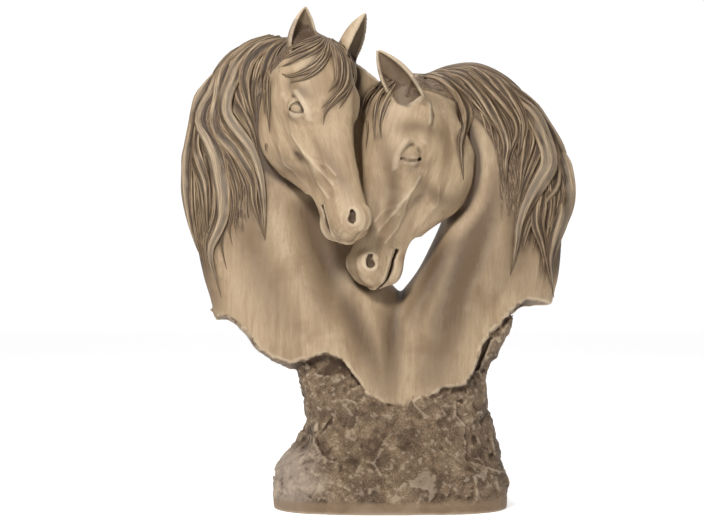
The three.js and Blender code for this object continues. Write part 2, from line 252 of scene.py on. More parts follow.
# Long folds of the neck: height (minus for a groove), half width, route as [x, z].
LEFT_FOLDS = [
    (-9, 20, [[-92, 316], [-80, 276], [-62, 236], [-44, 204], [-27, 170], [-14, 128]]),
    (5, 16, [[-112, 290], [-98, 240], [-74, 196], [-50, 162], [-38, 130]]),
    (5, 11, [[-54, 256], [-38, 218], [-18, 180], [-4, 132]]),
    (-4, 13, [[-165, 270], [-152, 236], [-140, 206]]),
    (-3.5, 14, [[-132, 270], [-118, 222], [-98, 176]]),
    (-4, 13, [[-6, 232], [0, 200], [6, 160], [11, 104]]),
]
RIGHT_FOLDS = [
    (5, 12, [[68, 296], [50, 250], [32, 208], [22, 170], [18, 116]]),
    (-6.5, 19, [[90, 316], [76, 262], [56, 214], [42, 170], [34, 120]]),
    (5, 16, [[112, 290], [92, 236], [68, 190], [54, 146]]),
    (-4, 13, [[134, 250], [112, 214], [86, 176]]),
]


# Painted shade brushed down the necks' valleys and edges: strength, half width, route as [x, z].
SHADED = [
    (0.8, 20, [[-96, 322], [-72, 276], [-61, 236], [-60, 208]]),
    (0.6, 13, [[-52, 214], [-36, 182], [-20, 150], [-9, 122]]),
    (0.6, 13, [[2, 208], [0, 165], [-3, 116]]), (0.7, 15, [[62, 292], [48, 245], [33, 208], [20, 188]]),
    (0.75, 19, [[97, 345], [90, 281], [68, 220], [50, 160], [42, 130]]),
    (0.5, 22, [[118, 310], [125, 270], [122, 222]]),
    (0.42, 20, [[-150, 330], [-140, 280], [-124, 230], [-105, 185]]),
    (0.55, 10, [[-189, 262], [-181, 222], [-172, 196]]),
]


FACE_SHADED = [  # painted shade on the heads, the same way
    (0.5, 9, [[-8, 352], [0, 322], [2, 294], [-4, 258]]),
    (0.45, 8, [[22, 322], [38, 305], [56, 296], [74, 306]]),
    (0.42, 7, [[8, 364], [26, 366], [48, 360]]), (0.4, 6, [[4, 342], [18, 332], [34, 330]]),
    (0.4, 8, [[-30, 436], [-22, 410], [-18, 376]]),
    (0.45, 7, [[-112, 342], [-100, 328], [-84, 320], [-68, 312]]),
    (0.45, 6, [[-66, 284], [-60, 270], [-48, 260]]), (0.45, 6, [[-98, 404], [-88, 400], [-76, 392]]),
    (0.3, 6, [[-104, 380], [-94, 374], [-82, 374]]), (0.36, 6, [[-70, 350], [-56, 328], [-40, 304]]),
    (0.4, 6, [[-18, 300], [-14, 286], [-22, 266]]), (0.45, 7, [[-44, 250], [-46, 236], [-34, 222]]),
]


def neck_field(neck, folds, part, y):
    (share, c, half), seen = plane_maps(neck)
    crestward, c, share, half = blur2(np.maximum(c, 0)), blur2(np.abs(c)), blur2(share), blur2(half)
    bulk, middle = table(NECK_BULK, share)
    thick = bulk * NECK_HALF * (1 - 0.3 * crestward)
    for height, width, route in folds:
        gap, along = line_gap(route)
        ends = np.sin(np.pi * np.clip(along, 0.001, 0.999)) ** 1.1
        thick = thick + height * ends * np.exp(-((gap / width) ** 2))
    sx, sz = part[0], part[2]
    thick, c, half, middle = (m[sx, sz][:, None, :] for m in (thick, c, half, middle))
    p = 2.35
    g = ((np.abs(y - middle) / thick) ** p + np.abs(c) ** p) ** (1 / p) - 1
    d = g * np.minimum(thick, half)
    return np.where(seen[sx, sz][:, None, :], d, 40.0).astype(F), (share, crestward)


LEFT_BREAK = [[-196, 202], [-175, 196], [-171, 188], [-160, 189], [-149, 183], [-139, 173], [-129, 157],
              [-115, 146],
              [-97, 140], [-80, 144], [-63, 151], [-48, 145], [-38, 130], [-24, 112], [-8, 102], [12, 97]]
RIGHT_BREAK = [[186, 206], [164, 202], [158, 200], [146, 202], [132, 203], [119, 195], [108, 183], [96, 172],
               [87, 157], [81, 134], [72, 121], [52, 118], [40, 112], [24, 106], [12, 97]]
BREAK_LEAN, FRONT_FACE = 0.15, 45  # the break runs lower towards the back


def above_break(line, x, y, z):
    """Distance from a neck's broken edge, above 0 over it and under 0 below it."""
    z = z + BREAK_LEAN * (y + FRONT_FACE)
    p = np.array(line, float)
    p = p[np.argsort(p[:, 0])]
    top = np.interp(x, p[:, 0], p[:, 1])
    d = np.full(np.broadcast(x, z).shape, 99.0, F)
    for a, b in zip(p[:-1], p[1:]):
        e = b - a
        t = np.clip(((x - a[0]) * e[0] + (z - a[1]) * e[1]) / (e @ e), 0, 1)
        d = np.minimum(d, np.hypot(x - a[0] - t * e[0], z - a[1] - t * e[1]))
    return np.where(z > top, d, -d)


def edge_gap(p):
    """Distance of each point from the nearer broken edge."""
    return np.minimum(*(np.abs(above_break(line, *p.T)) for line in (LEFT_BREAK, RIGHT_BREAK)))


# ------------------------------------------------------------------ rock
# height, left, right, half depth, middle y, where the front turns into the right side
ROCK = [
    [-2, -113, 113, 69, 0, 104], [10, -114, 114, 70, 0, 106], [13, -113, 113, 68.5, 0, 105],
    [26, -114, 114, 67, 0, 102], [38, -111, 112, 62, 1, 98], [47, -103, 106, 58, 2, 95],
    [63, -90, 101, 51, 3, 88],
    [83, -82, 97, 46, 4, 82], [102, -82, 93, 43, 4, 75], [121, -88, 92, 42, 4, 80], [137, -95, 97, 40, 4, 94],
    [152, -84, 104, 38, 4, 104], [168, -60, 115, 34, 4, 116], [184, -40, 124, 28, 4, 126],
]
SCOOPS = [  # hollows broken out of the rock: centre, radii
    ((-60, -52, 138), (30, 22, 12)), ((-58, -66, 96), (34, 26, 24)), ((40, -70, 84), (30, 26, 30)),
    ((-92, -30, 70), (16, 30, 18)), ((0, -84, 40), (60, 18, 14)),
    ((30, 66, 90), (50, 22, 30)), ((-50, 62, 70), (36, 20, 26)),
]


def ball(x, y, z, centre, radii):
    """Distance to an ellipsoid, near enough."""
    q = [(v - c) / r for v, c, r in zip((x, y, z), centre, radii)]
    k0 = np.sqrt(q[0] ** 2 + q[1] ** 2 + q[2] ** 2)
    k1 = np.sqrt(sum((v / r) ** 2 for v, r in zip(q, radii)))
    return (k0 * (k0 - 1) / np.maximum(k1, 1e-6)).astype(F)


def rock_field(x, y, z):
    left, right, depth, middle, turn = table(ROCK, np.clip(z, -2, 184))
    p = 3.2
    half = (right - left) / 2
    g = (np.abs((x - (left + right) / 2) / half) ** p + np.abs((y - middle) / depth) ** p) ** (1 / p) - 1
    d = g * np.minimum(half, depth)
    side = (x - turn) * 0.8 - (y - (middle - depth)) * 0.6
    d = smax(d, side - 2, 3)
    top = np.where(x < 12, np.interp(x, *np.array(sorted(LEFT_BREAK)).T),
                   np.interp(x, *np.array(sorted(RIGHT_BREAK)).T))
    d = smax(d, (z - top - 3) * 0.8, 3)
    d = np.maximum(d, np.maximum(-z, z - 190))
    for centre, radii in SCOOPS:
        d = smax(d, -ball(x, y, z, centre, radii), 6)
    return d.astype(F)


# ------------------------------------------------------------------ heads
HEAD_LENGTH = 198.0
HEAD_FLAT = 0.7
# along, face line, jaw line, half widths: face flat, cheek bone, jaw
HEAD_PROFILE = [
    [-0.09, -0.12, -0.16, 0.02, 0.03, 0.02], [-0.06, -0.06, -0.2, 0.045, 0.075, 0.055],
    [-0.02, -0.01, -0.27, 0.08, 0.115, 0.09], [0.05, 0.03, -0.37, 0.115, 0.15, 0.105],
    [0.13, 0.05, -0.47, 0.145, 0.178, 0.115], [0.21, 0.056, -0.535, 0.168, 0.19, 0.12],
    [0.3, 0.048, -0.56, 0.165, 0.188, 0.12], [0.38, 0.032, -0.565, 0.13, 0.168, 0.115],
    [0.46, 0.015, -0.545, 0.1, 0.145, 0.105], [0.53, 0.004, -0.495, 0.083, 0.125, 0.095],
    [0.59, -0.002, -0.43, 0.074, 0.11, 0.08], [0.65, -0.006, -0.37, 0.068, 0.1, 0.07],
    [0.71, -0.009, -0.325, 0.065, 0.092, 0.062],
    [0.78, -0.01, -0.288, 0.068, 0.09, 0.06], [0.86, -0.012, -0.272, 0.078, 0.098, 0.066],
    [0.91, -0.03, -0.262, 0.074, 0.095, 0.062], [0.945, -0.065, -0.24, 0.056, 0.076, 0.05],
    [0.97, -0.12, -0.2, 0.026, 0.04, 0.026], [0.99, -0.15, -0.175, 0.01, 0.02, 0.01],
]
LEFT_HORSE = dict(
    poll=(-66, -38, 450), tilt=0.235, turn=0.87, lean=0.19, side=1, open_eye=True,
    eye=(0.322, -0.115), swing=0.6, slant=0.4, nostril=(0.888, -0.03),
    ears=[dict(base=(-87, -36, 424), tip=(-82, -36, 483), open=(0.45, -1, 0.05), width=18.5),
          dict(base=(-46, -14, 428), tip=(-23, -12, 480), open=(0.9, -0.35, -0.2), width=20)],
    nape=((-72, 2, 420), (40, 42, 32)),
)
RIGHT_HORSE = dict(
    poll=(-2, -22, 408), tilt=-0.215, turn=0.49, lean=0.10, side=-1, open_eye=False,
    eye=(0.345, -0.12), swing=0.3, slant=0.15, nostril=(0.868, -0.062),
    ears=[dict(base=(24, -32, 386), tip=(-15, -42, 440), open=(-0.3, -1, 0.1), width=19.5),
          dict(base=(6, 10, 388), tip=(2, 14, 424), open=(-1, 0.1, 0), width=10)],
    nape=((38, 24, 386), (36, 34, 34)),
)


def head_axes(horse):
    side = horse["side"]
    along = np.array([math.sin(horse["tilt"]), -math.sin(horse["lean"]), -math.cos(horse["tilt"])])
    along /= np.linalg.norm(along)
    face = np.array([side * math.cos(horse["turn"]), -math.sin(horse["turn"]), 0.0])
    face -= face @ along * along
    face /= np.linalg.norm(face)
    across = np.cross(along, face)
    across *= -np.sign(across[1])
    flat = np.array([1, HEAD_FLAT, 1])
    return np.stack([along, face * flat, across * flat], 1)


def capsule(a, n, l, p, q, r0, r1=None):
    r1 = r0 if r1 is None else r1
    d = [q[i] - p[i] for i in range(3)]
    t = np.clip(((a - p[0]) * d[0] + (n - p[1]) * d[1] + (l - p[2]) * d[2]) / sum(v * v for v in d), 0, 1)
    gap = np.sqrt((a - p[0] - t * d[0]) ** 2 + (n - p[1] - t * d[1]) ** 2 + (l - p[2] - t * d[2]) ** 2)
    return gap - (r0 + (r1 - r0) * t)


def chain(a, n, l, points, r0, r1=None):
    r1 = r0 if r1 is None else r1
    radii = np.linspace(r0, r1, len(points))
    d = None
    for k in range(len(points) - 1):
        one = capsule(a, n, l, points[k], points[k + 1], radii[k], radii[k + 1])
        d = one if d is None else np.minimum(d, one)
    return d


def head_shell(a, n, l):
    top, bottom, flat, cheek, jaw = table(HEAD_PROFILE, np.clip(a, -0.09, 0.99))
    mid, half = (top + bottom) / 2, (top - bottom) / 2
    high = (n - mid) / half
    width = jaw + (cheek - jaw) * step01(high, -0.7, 0.3)
    width = width + (flat - width) * step01(high, 0.55, 1.05)
    p = 2.9
    g = (np.abs(l / width) ** p + np.abs(high) ** p) ** (1 / p) - 1
    d = g * np.minimum(width, half)
    return np.maximum(d, np.maximum(a - 0.99, -0.09 - a)).astype(F)


def surface_at(a, n):
    """How far out to the side the bare head is, at that place along and up it."""
    m = np.linspace(0, 0.25, 400).astype(F)
    inside = head_shell(np.full_like(m, a), np.full_like(m, n), m) < 0
    return float(m[inside].max())


def relief(a, n, points, height, width):
    """A raised line on the head's side, told by where it runs along and up; minus for a groove."""
    gap = None
    for p, q in zip(points[:-1], points[1:]):
        d = (q[0] - p[0], q[1] - p[1])
        t = np.clip(((a - p[0]) * d[0] + (n - p[1]) * d[1]) / (d[0] ** 2 + d[1] ** 2), 0, 1)
        one = (a - p[0] - t * d[0]) ** 2 + (n - p[1] - t * d[1]) ** 2
        gap = one if gap is None else np.minimum(gap, one)
    return height * np.exp(-gap / width**2)


def eye_parts(horse, a, n, m):
    """Distance from the eyeball's middle, and from the edge of the lids' opening, plus inside it."""
    ea, en = horse["eye"]
    e = (a - ea, n - en, m - (surface_at(ea, en) - 0.036))
    r = np.sqrt(e[0] ** 2 + e[1] ** 2 + e[2] ** 2)
    swing = horse["swing"]
    toward = e[1] * math.cos(swing) - e[2] * math.sin(swing)
    slant = horse["slant"]
    e1 = toward * math.cos(slant) + e[0] * math.sin(slant)
    e2 = toward * math.sin(slant) - e[0] * math.cos(slant)
    arch = np.maximum(1 - (e1 / 0.052) ** 2, -1)
    if horse["open_eye"]:
        upper, lower = 0.031 * arch, -0.021 * arch
    else:
        upper, lower = -0.012 * arch + 0.0035, -0.012 * arch - 0.0035
    return r, np.minimum(upper - e2, e2 - lower)


def nostril_hole(horse, a, n, m):
    na, nn = horse["nostril"]
    nm = surface_at(na, nn) - 0.004
    return chain(a, n, m, [(na + 0.010, nn - 0.004, nm + 0.008), (na - 0.006, nn + 0.005, nm + 0.008),
                           (na - 0.024, nn + 0.006, nm + 0.004), (na - 0.034, nn - 0.006, nm)], 0.022, 0.008)


def mouth_line(a):
    return -0.185 - 0.012 * np.sin((a - 0.78) * 20) - 0.5 * np.maximum(0.83 - a, 0)


def head_place(horse, x, y, z):
    inverse = np.linalg.inv(head_axes(horse)) / HEAD_LENGTH
    q = [x - horse["poll"][0], y - horse["poll"][1], z - horse["poll"][2]]
    return [(inverse[i][0] * q[0] + inverse[i][1] * q[1] + inverse[i][2] * q[2]).astype(F) for i in range(3)]


def head_field(horse, x, y, z):
    a, n, l = head_place(horse, x, y, z)
    m = np.abs(l)
    d = head_shell(a, n, l)
    d = smin(d, ball(a, n, m, (0.36, -0.33, 0.075), (0.19, 0.19, 0.08)), 0.02)  # cheek
    d = smin(d, capsule(a, n, m, (0.3, -0.16, 0.15), (0.6, -0.15, 0.095), 0.024, 0.010), 0.05)  # face crest
    ea, en = horse["eye"]
    em = surface_at(ea, en)
    d = smin(d, ball(a, n, m, (ea - 0.035, en + 0.02, em - 0.06), (0.1, 0.075, 0.07)), 0.05)  # brow
    d = smin(d, capsule(a, n, m, (ea - 0.10, en - 0.03, 0.16), (0.06, -0.13, 0.12), 0.022, 0.018), 0.04)
    # hollow over the eye
    d = smax(d, -ball(a, n, m, (ea - 0.14, en + 0.02, 0.215), (0.075, 0.05, 0.04)), 0.04)
    d = smax(d, -ball(a, n, m, (0.62, -0.25, 0.13), (0.12, 0.07, 0.045)), 0.05)  # hollow before the cheek
    d = smax(d, -capsule(a, n, m, (0.45, -0.075, 0.165), (0.74, -0.085, 0.115), 0.02, 0.02), 0.05)
    d = smax(d, -ball(a, n, m, (0.755, -0.325, 0.0), (0.06, 0.04, 0.12)), 0.03)  # chin groove
    # eye: socket, ball, lids round an almond, folds over and under them
    d = smax(d, -ball(a, n, m, (ea + 0.01, en - 0.01, em + 0.02), (0.08, 0.058, 0.026)), 0.035)
    r, hole = eye_parts(horse, a, n, m)
    lids = smax(r - 0.057, hole, 0.004)
    d = smin(d, lids, 0.022)
    reach, eyeball = (0.064, 0.0475) if horse["open_eye"] else (0.0575, 0.052)
    d = smax(d, -np.maximum(-hole, r - reach), 0.003)
    d = np.minimum(d, r - eyeball)
    for out, deep in ((0.074, 0.0035),):
        path = [(ea + out * math.cos(w) * 0.95, en + out * math.sin(w) * 0.72)
                for w in np.linspace(0.75, 2.9, 9)]
        d = d + relief(a, n, path, deep, 0.012) * (m > 0.06)
    ridge = [(ea + 0.105 * math.cos(w), en + 0.082 * math.sin(w)) for w in np.linspace(0.9, 2.8, 9)]
    d = d - relief(a, n, ridge, 0.007, 0.019) * (m > 0.06)
    bag = [(ea + 0.06 * math.cos(w), en - 0.05 * math.sin(w)) for w in np.linspace(0.3, 2.6, 8)]
    d = d + relief(a, n, bag, 0.0016, 0.012) * (m > 0.08)
    # nostril: swelling, curled rim and hole
    na, nn = horse["nostril"]
    nm = surface_at(na, nn)
    d = smin(d, ball(a, n, m, (na + 0.005, nn - 0.01, nm - 0.03), (0.065, 0.06, 0.042)), 0.025)
    ring = [(na - 0.002 + 0.036 * math.cos(w), nn - 0.004 + 0.034 * math.sin(w),
             nm + 0.002 - 0.012 * math.sin(w))
            for w in np.linspace(-0.9, 3.9, 12)]
    d = smin(d, chain(a, n, m, ring, 0.0115, 0.007), 0.012)
    d = smax(d, -nostril_hole(horse, a, n, m), 0.006)
    # lips
    d = smin(d, ball(a, n, m, (0.925, -0.12, 0.035), (0.05, 0.07, 0.055)), 0.025)
    d = smin(d, ball(a, n, m, (0.872, -0.232, 0.02), (0.068, 0.04, 0.055)), 0.022)
    slit = np.maximum(np.abs(n - mouth_line(a)) - 0.008, np.maximum(0.775 - a, -(d + 0.03)))
    d = smax(d, -slit, 0.012)
    d = d - relief(a, n, [(0.79, -0.17), (0.86, -0.162), (0.94, -0.155)], 0.006, 0.012) * (m > 0.03)
    for k in range(3):
        crease = [(0.77 - 0.02 * k, -0.17), (0.782 - 0.02 * k, -0.215)]
        d = d + relief(a, n, crease, 0.003, 0.007) * (m > 0.03)
        w = 0.055 + 0.018 * k
        path = [(na + w * math.cos(v), nn + w * math.sin(v)) for v in np.linspace(3.3, 5.2, 7)]
        d = d + relief(a, n, path, 0.0026, 0.007) * (m > 0.03)
    # veins and muscle edges
    veins = (
        ([(0.42, -0.19), (0.48, -0.178), (0.56, -0.14), (0.64, -0.11), (0.71, -0.075)], 0.006, 0.012),
        ([(0.52, -0.165), (0.6, -0.185), (0.68, -0.165), (0.76, -0.12)], 0.0045, 0.010),
        ([(0.57, -0.135), (0.61, -0.075), (0.67, -0.05)], 0.0035, 0.009),
        ([(0.44, -0.31), (0.52, -0.34), (0.6, -0.31), (0.68, -0.26)], 0.004, 0.014),
        ([(0.3, -0.17), (0.36, -0.22), (0.44, -0.26), (0.52, -0.25)], -0.005, 0.035),
        ([(0.2, -0.24), (0.3, -0.28), (0.42, -0.29), (0.5, -0.3)], 0.005, 0.04),
    )
    for path, height, width in veins:
        d = d - relief(a, n, path, height, width) * (m > 0.03)
    return (d * HEAD_LENGTH).astype(F)


def head_stain_and_shade(horse, p):
    """Where dark wash and painted shade sit in the carved lines and holes of a head: 0 to 1 at each point."""
    a, n, l = head_place(horse, p[:, 0], p[:, 1], p[:, 2])
    m = np.abs(l)
    near = step01(head_shell(a, n, l), 0.09, 0.04)
    r, hole = eye_parts(horse, a, n, m)
    line = 1 - step01(np.abs(hole), *((0.002, 0.009) if horse["open_eye"] else (-0.001, 0.005)))
    stain_and_shade = np.where(r < 0.062, np.maximum(line * 0.8, 0.12 * (hole > 0)), 0)
    stain_and_shade = np.maximum(stain_and_shade, 0.85 * (1 - step01(nostril_hole(horse, a, n, m), -0.004, 0.004)))
    mouth = (1 - step01(np.abs(n - mouth_line(a)), 0.006, 0.015)) * (a > 0.77) * (a < 0.985)
    return np.maximum(stain_and_shade, 0.75 * mouth) * near


def ear_field(ear, x, y, z, part="solid"):
    base, tip, face = (np.array(ear[k], float) for k in ("base", "tip", "open"))
    axis = tip - base
    length = np.linalg.norm(axis)
    axis /= length
    across = np.cross(axis, face)
    across /= np.linalg.norm(across)
    out = np.cross(across, axis)
    q = [x - base[0], y - base[1], z - base[2]]
    t, u, v = ((q[0] * e[0] + q[1] * e[1] + q[2] * e[2]).astype(F) for e in (axis, across, out))
    s = np.clip(t / length, -0.3, 1)
    curl = 0.12 * length * s**2 * 0.35
    u = u - curl * 0.4
    half = ear["width"] * np.clip(0.64 + 0.86 * np.maximum(s, 0) - 1.5 * np.maximum(s, 0) ** 2.3, 0.03, 1)
    outer = (np.sqrt((u / half) ** 2 + (v / (0.7 * half)) ** 2) - 1) * 0.75 * half
    inner_half = half - 2.4
    hollow = (np.sqrt((u / np.maximum(inner_half, 0.3)) ** 2
                      + ((v - 0.62 * half) / np.maximum(0.85 * half, 0.3)) ** 2) - 1)
    hollow = hollow * np.maximum(inner_half, 0.3)
    d = smax(outer, np.maximum(t - length, -0.3 * length - t), 2)
    open_from = np.maximum(hollow, (0.10 - s) * 30)
    if part == "hollow":
        return np.maximum(open_from, d)
    return smax(d, -open_from, 1.5)


# ------------------------------------------------------------------ put the body together
part, X, Y, Z = window((-215, -70, 84), (62, 90, 470))
d, LEFT_MAPS = neck_field(LEFT_NECK, LEFT_FOLDS, part, Y)
cut = above_break(LEFT_BREAK, X, Y, Z)
FIELD[part] = smax(d, -cut, 2.5)
part, X, Y, Z = window((-40, -70, 84), (200, 90, 450))
d, RIGHT_MAPS = neck_field(RIGHT_NECK, RIGHT_FOLDS, part, Y)
cut = above_break(RIGHT_BREAK, X, Y, Z)
FIELD[part] = smin(FIELD[part], smax(d, -cut, 2.5), 5)
part, X, Y, Z = window((-130, -85, -5), (130, 85, 190))
d = rock_field(X, Y, Z)
old = FIELD[part].copy()
ROCKY[part] = step01(old - d, -1.5, 1.5)
FIELD[part] = smin(old, d, 2.5)
del old


def ear_box(ear):
    both = np.array([ear["base"], ear["tip"]], float)
    return both.min(0) - 24, both.max(0) + 14


for horse, low, high in ((RIGHT_HORSE, (-62, -80, 195), (125, 66, 440)),
                         (LEFT_HORSE, (-158, -97, 235), (22, 66, 478))):
    part, X, Y, Z = window(low, high)
    d = head_field(horse, X, Y, Z)
    d = smin(d, ball(X, Y, Z, *horse["nape"]), 12)
    FIELD[part] = smin(FIELD[part], d, 2.0)
    ROCKY[part] *= (d > FIELD[part] + 3)
for horse in (LEFT_HORSE, RIGHT_HORSE):
    for ear in horse["ears"]:
        part, X, Y, Z = window(*ear_box(ear))
        FIELD[part] = smin(FIELD[part], ear_field(ear, X, Y, Z), 5)

# rough the rock and the broken edges, in a thin band only
band = np.argwhere((np.abs(FIELD[:, :, : int(215 / STEP)]) < 6))
P = (G0 + band * STEP).astype(F)
index = tuple(band.T)
rocky = ROCKY[index]
broken = np.maximum(rocky, 1 - step01(edge_gap(P), 1.5, 4))
warp = 3 * np.stack([fbm(P, 0.045, 2, 40), fbm(P, 0.045, 2, 50), fbm(P, 0.045, 2, 60)], 1)
rough = 2.4 * fbm(P, 0.03, 3, 3) + 0.6 * fbm(P, 0.25, 2, 13)
for size, high, seed in ((0.024, 1.7, 5), (0.055, 1.0, 7), (0.12, 0.6, 9)):
    height, gap = facets(P + warp, size, seed)
    rough = rough + high * height - 0.05 * high * (1 - step01(gap, 0.0, 0.1))
skirt = step01(P[:, 2], 9, 15)
amount = broken * (0.15 + 0.85 * skirt)
soft = 0.5 * fbm(P, 0.05, 2, 23)
fade = 1 - step01(P[:, 2], 165, 212)
FIELD[index] -= ((rough * amount + soft * (1 - amount) * skirt) * np.maximum(fade, amount)).astype(F)
FIELD[:, :, GZ < 0] = np.maximum(FIELD[:, :, GZ < 0], (0 - GZ[GZ < 0])[None, None])


# ------------------------------------------------------------------ depth of the front and the back
def depth_map(field, front):
    inside = field < 0
    hit = inside.any(1)
    if front:
        i = inside.argmax(1)
        step = -1
    else:
        i = inside.shape[1] - 1 - inside[:, ::-1].argmax(1)
        step = 1
    j = np.clip(i + step, 0, field.shape[1] - 1)
    here = np.take_along_axis(field, i[:, None], 1)[:, 0]
    there = np.take_along_axis(field, j[:, None], 1)[:, 0]
    share = here / np.where(np.abs(here - there) < 1e-6, 1, here - there)
    y = GY[i] + step * STEP * np.clip(share, 0, 1)
    y = np.where(hit, y, np.nan)
    for _ in range(int(34 / STEP)):
        gap = np.isnan(y)
        if not gap.any():
            break
        p = np.pad(y, 1, constant_values=np.nan)
        around = np.stack([p[:-2, 1:-1], p[2:, 1:-1], p[1:-1, :-2], p[1:-1, 2:]])
        count = (~np.isnan(around)).sum(0)
        mean = np.nansum(around, 0) / np.maximum(count, 1)
        y = np.where(gap & (count > 0), mean, y)
    y = np.where(np.isnan(y), 20, y)
    return blur2(y.astype(F), 4)


FRONT, BACK = depth_map(FIELD, True), depth_map(FIELD, False)


def read_map(m, x, z):
    fx, fz = (x - G0[0]) / STEP, (z - G0[2]) / STEP
    ix = np.clip(fx.astype(int), 0, GN[0] - 2)
    iz = np.clip(fz.astype(int), 0, GN[2] - 2)
    tx, tz = fx - ix, fz - iz
    return ((m[ix, iz] * (1 - tx) + m[ix + 1, iz] * tx) * (1 - tz)
            + (m[ix, iz + 1] * (1 - tx) + m[ix + 1, iz + 1] * tx) * tz)


# ------------------------------------------------------------------ manes
LEFT_LOCKS = [
    [[-101, 456], [-112, 446], [-118, 431], [-118, 415], [-118, 396], [-117, 376], [-116, 361]],
    [[-104, 458], [-124, 449], [-138, 434], [-142, 415], [-139, 397], [-136, 386], [-131, 374]],
    [[-109, 461], [-131, 452], [-147, 436], [-155, 418], [-162, 396], [-161, 379], [-151, 364], [-142, 353],
     [-134, 340], [-127, 318], [-123, 289], [-121, 257]],
    [[-118, 462], [-139, 453], [-154, 439], [-165, 420], [-168, 396], [-171, 379], [-168, 363], [-154, 348],
     [-142, 331], [-133, 313], [-132, 296], [-128, 280], [-122, 260]],
    [[-135, 455], [-154, 444], [-168, 425], [-174, 404], [-183, 388], [-185, 372], [-176, 356], [-169, 339],
     [-165, 320], [-162, 299], [-163, 280], [-169, 264], [-175, 251], [-174, 235], [-169, 218], [-164, 201]],
    [[-156, 441], [-178, 412], [-187, 393], [-191, 371], [-196, 343], [-198, 323], [-198, 299], [-194, 272],
     [-189, 252], [-184, 239]],
    [[-171, 414], [-185, 388], [-190, 366], [-191, 347], [-187, 329], [-182, 314], [-180, 293], [-179, 274],
     [-176, 259]],
]
RIGHT_LOCKS = [
    [[22, 418], [44, 418], [60, 407], [72, 389], [75, 379], [71, 363], [68, 350], [69, 331], [71, 316]],
    [[33, 422], [53, 420], [72, 409], [84, 396], [92, 383]],
    [[44, 425], [70, 420], [86, 405], [101, 383], [111, 363], [114, 348], [112, 334], [114, 312]],
    [[67, 430], [82, 426], [98, 411], [114, 392], [124, 376], [126, 363], [120, 348], [116, 331]],
    [[85, 430], [106, 413], [121, 394], [130, 373], [128, 351], [124, 337]],
    [[99, 421], [120, 400], [141, 379], [150, 360], [155, 344], [155, 331], [147, 316], [136, 298],
     [126, 275],
     [123, 257], [119, 238], [116, 224]],
    [[110, 417], [132, 398], [149, 376], [164, 350], [168, 331], [165, 312], [156, 299], [144, 286],
     [134, 267],
     [128, 245]],
    [[151, 366], [165, 345], [172, 320], [173, 299], [167, 277], [160, 257], [156, 239], [158, 218],
     [161, 202]],
    [[151, 308], [146, 289], [144, 272], [149, 252], [153, 231]],
]
FORELOCKS = [
    (3.6, [[-57, 452], [-46, 438], [-41, 420], [-42, 404], [-52, 391], [-62, 378], [-64, 366]]),
    (3.4, [[-59, 452], [-49, 436], [-46, 420], [-48, 404], [-55, 393], [-66, 382]]),
    (3.4, [[-61, 452], [-54, 437], [-51, 420], [-53, 406], [-60, 396]]),
    (3.2, [[-56, 452], [-42, 440], [-36, 424], [-36, 408], [-42, 394], [-50, 380]]),
    (3.2, [[-60, 451], [-62, 438], [-71, 425], [-86, 416], [-99, 414], [-107, 419]]),
    (3.2, [[-62, 451], [-68, 441], [-85, 431], [-100, 424], [-108, 423]]),
    (3.0, [[-59, 450], [-60, 434], [-68, 420], [-82, 410], [-96, 407]]),
    (3.0, [[-64, 452], [-72, 445], [-88, 437], [-101, 431], [-108, 429]]),
    (2.8, [[-60, 448], [-64, 430], [-76, 418], [-90, 412]]),
    (3.0, [[-66, 453], [-76, 448], [-92, 442], [-104, 436]]),
    (3.4, [[0, 412], [-10, 406], [-18, 394], [-22, 378], [-22, 360], [-24, 344]]),
    (3.2, [[4, 411], [-6, 402], [-13, 388], [-16, 370], [-15, 352]]),
    (3.2, [[6, 410], [-1, 398], [-7, 384], [-10, 368], [-9, 354]]),
    (2.8, [[-2, 412], [-14, 408], [-22, 400], [-27, 388], [-27, 372]]),
]
AROUND, ALONG = 24, 38


